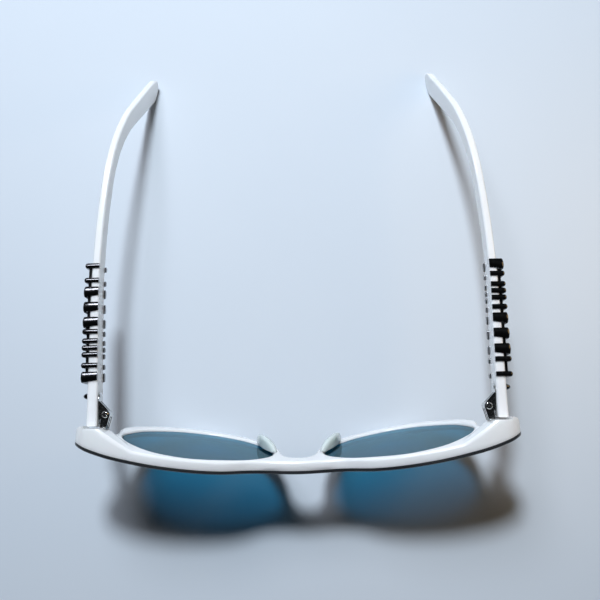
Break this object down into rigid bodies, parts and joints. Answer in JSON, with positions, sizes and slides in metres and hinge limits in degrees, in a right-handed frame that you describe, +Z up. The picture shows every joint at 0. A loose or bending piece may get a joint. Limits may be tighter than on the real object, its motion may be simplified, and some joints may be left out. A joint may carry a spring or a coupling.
{
  "type": "cat eye sunglasses",
  "caption": "Cat eye sunglasses with a white acetate front laminated in black, blue tinted lenses, dark metal clips round the temples and folding barrel hinges.",
  "frame": {"origin": "centre of the footprint, on the surface that the glasses stand on", "axes": "+Z up; the front faces -Y and the temples run towards +Y; the wearer's left is +X"},
  "size_m": [0.1426, 0.1472, 0.0491],
  "materials": {
    "white_acetate": "polished",
    "black_acetate": "polished",
    "blue_lens": "tinted and polished",
    "clear_acetate": "polished",
    "hinge_steel": "satin",
    "core_steel": "drawn wire",
    "dark_chrome": "polished, dark plating"
  },
  "bodies": {
    "front": {"frame_front": "white_acetate", "front_laminate": "black_acetate", "lens_left": "blue_lens", "lens_right": "blue_lens", "nose_pad_left": "clear_acetate", "nose_pad_right": "clear_acetate", "front_hinge_left": "hinge_steel", "front_hinge_right": "hinge_steel", "hinge_screw_left": "hinge_steel", "hinge_screw_right": "hinge_steel"},
    "left_temple": {"temple_left": "white_acetate", "temple_core_left": "core_steel", "temple_hinge_left": "hinge_steel", "temple_rivet_left": "dark_chrome", "ornament_rail_left": "dark_chrome", "ornament_bar_01_left": "dark_chrome", "ornament_bar_02_left": "dark_chrome", "ornament_bar_03_left": "dark_chrome", "ornament_bar_04_left": "dark_chrome", "ornament_bar_05_left": "dark_chrome", "ornament_bar_06_left": "dark_chrome", "ornament_bar_07_left": "dark_chrome", "ornament_bar_08_left": "dark_chrome", "ornament_bar_09_left": "dark_chrome", "ornament_bar_10_left": "dark_chrome", "ornament_bar_11_left": "dark_chrome"},
    "right_temple": {"temple_right": "white_acetate", "temple_core_right": "core_steel", "temple_hinge_right": "hinge_steel", "temple_rivet_right": "dark_chrome", "ornament_rail_right": "dark_chrome", "ornament_bar_01_right": "dark_chrome", "ornament_bar_02_right": "dark_chrome", "ornament_bar_03_right": "dark_chrome", "ornament_bar_04_right": "dark_chrome", "ornament_bar_05_right": "dark_chrome", "ornament_bar_06_right": "dark_chrome", "ornament_bar_07_right": "dark_chrome", "ornament_bar_08_right": "dark_chrome", "ornament_bar_09_right": "dark_chrome", "ornament_bar_10_right": "dark_chrome", "ornament_bar_11_right": "dark_chrome"}
  },
  "joints": [
    {"name": "left_temple_fold", "type": "hinge", "parent": "front", "child": "left_temple", "pos_m": [0.06143, -0.05257, 0.04172], "axis": [0, 0, 1], "range_deg": [0, 87]},
    {"name": "right_temple_fold", "type": "hinge", "parent": "front", "child": "right_temple", "pos_m": [-0.06143, -0.05257, 0.04172], "axis": [0, 0, -1], "range_deg": [0, 78]}
  ]
}
